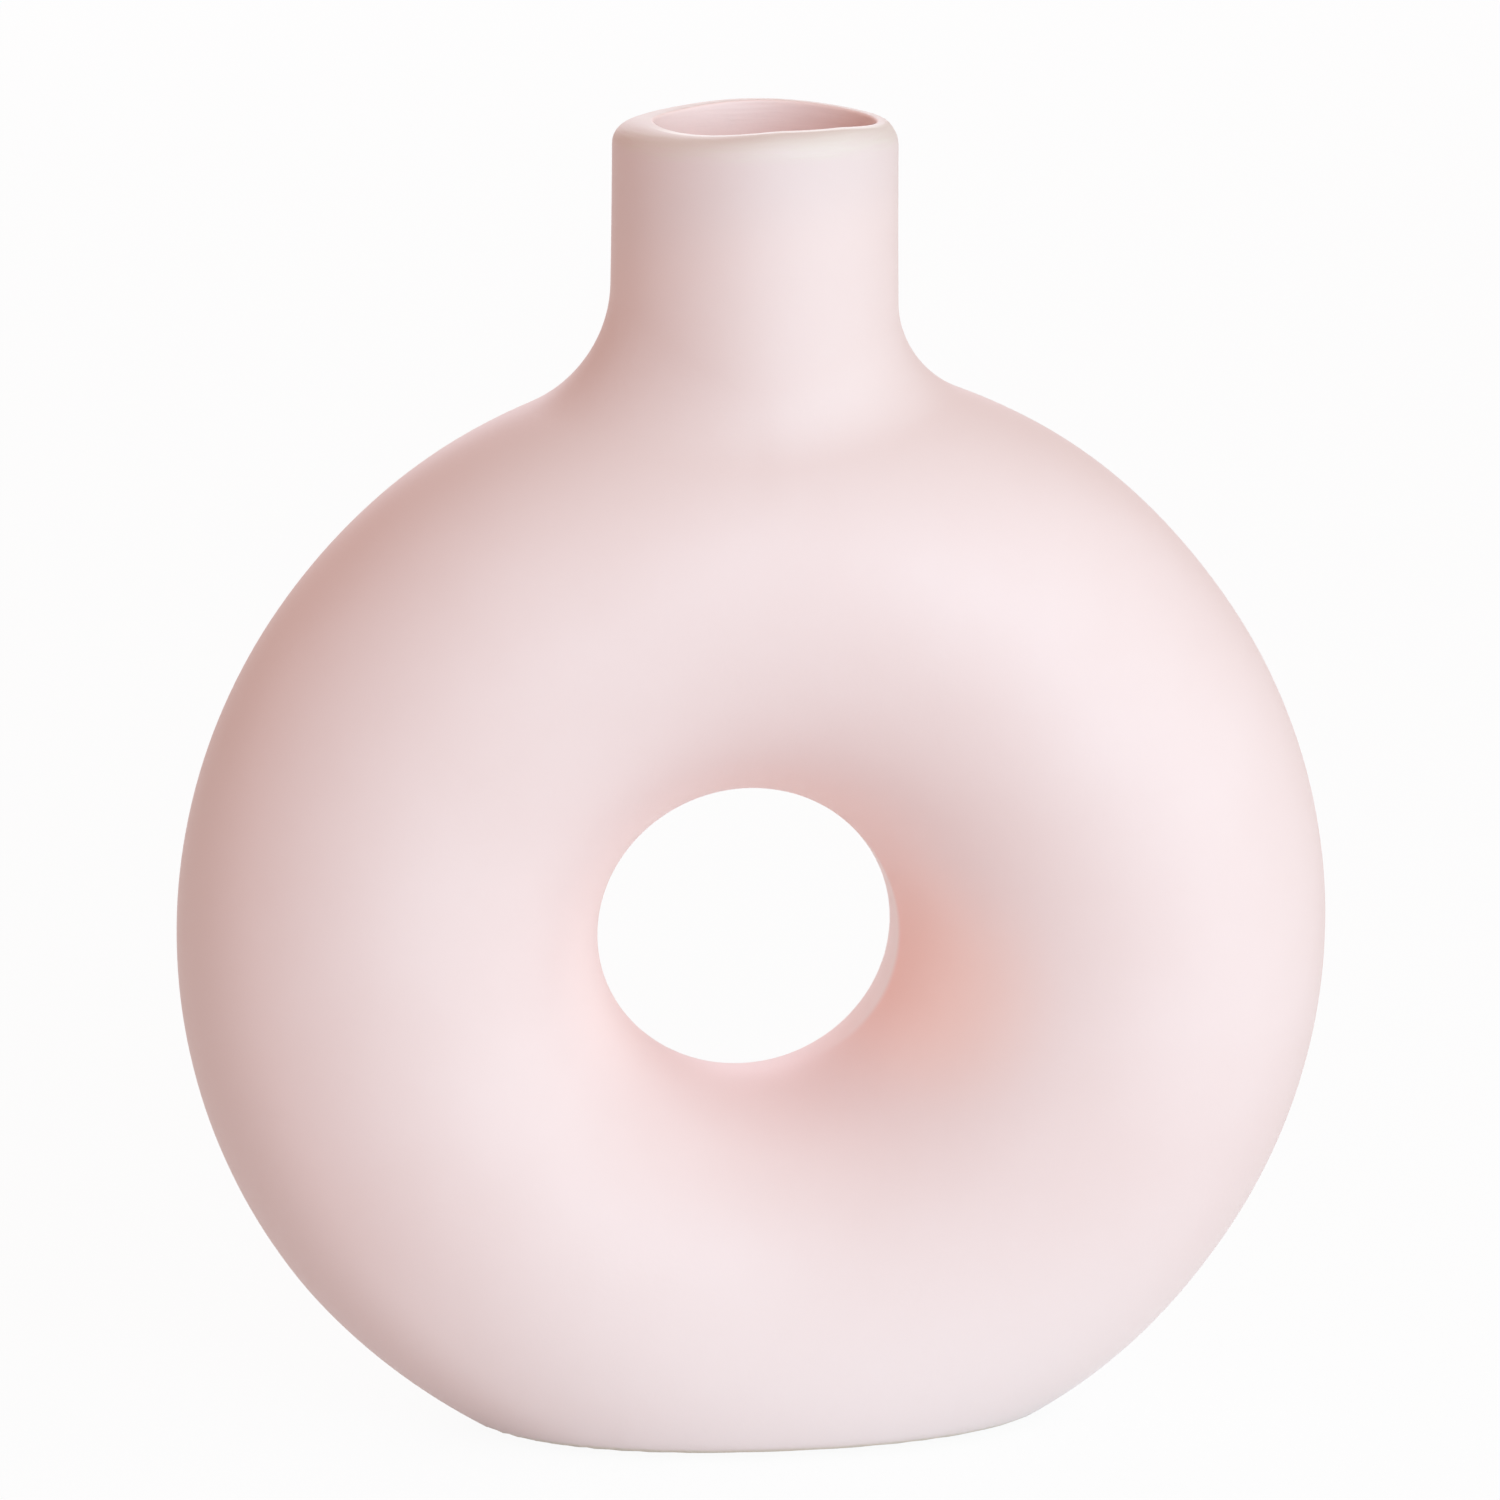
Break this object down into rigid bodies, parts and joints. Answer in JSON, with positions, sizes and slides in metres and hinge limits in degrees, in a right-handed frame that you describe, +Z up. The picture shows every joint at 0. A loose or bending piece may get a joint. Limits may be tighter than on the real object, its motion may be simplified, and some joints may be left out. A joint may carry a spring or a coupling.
{
  "type": "ring vase",
  "caption": "Upright hollow ring vase of matt stoneware with a short bottle neck, an open centre and a flat foot on felt pads.",
  "frame": {"origin": "on the table, under the middle of the vase", "axes": "+Z up through the neck, +X to the right along the ring, and -Y out of the front, along the hole's axis"},
  "size_m": [0.175, 0.065, 0.2009],
  "materials": {
    "stoneware": "smooth matt, pale powder pink",
    "felt": "off-white pressed felt"
  },
  "bodies": {
    "root": {"vase_body": "stoneware", "foot_pads": "felt"}
  },
  "joints": []
}
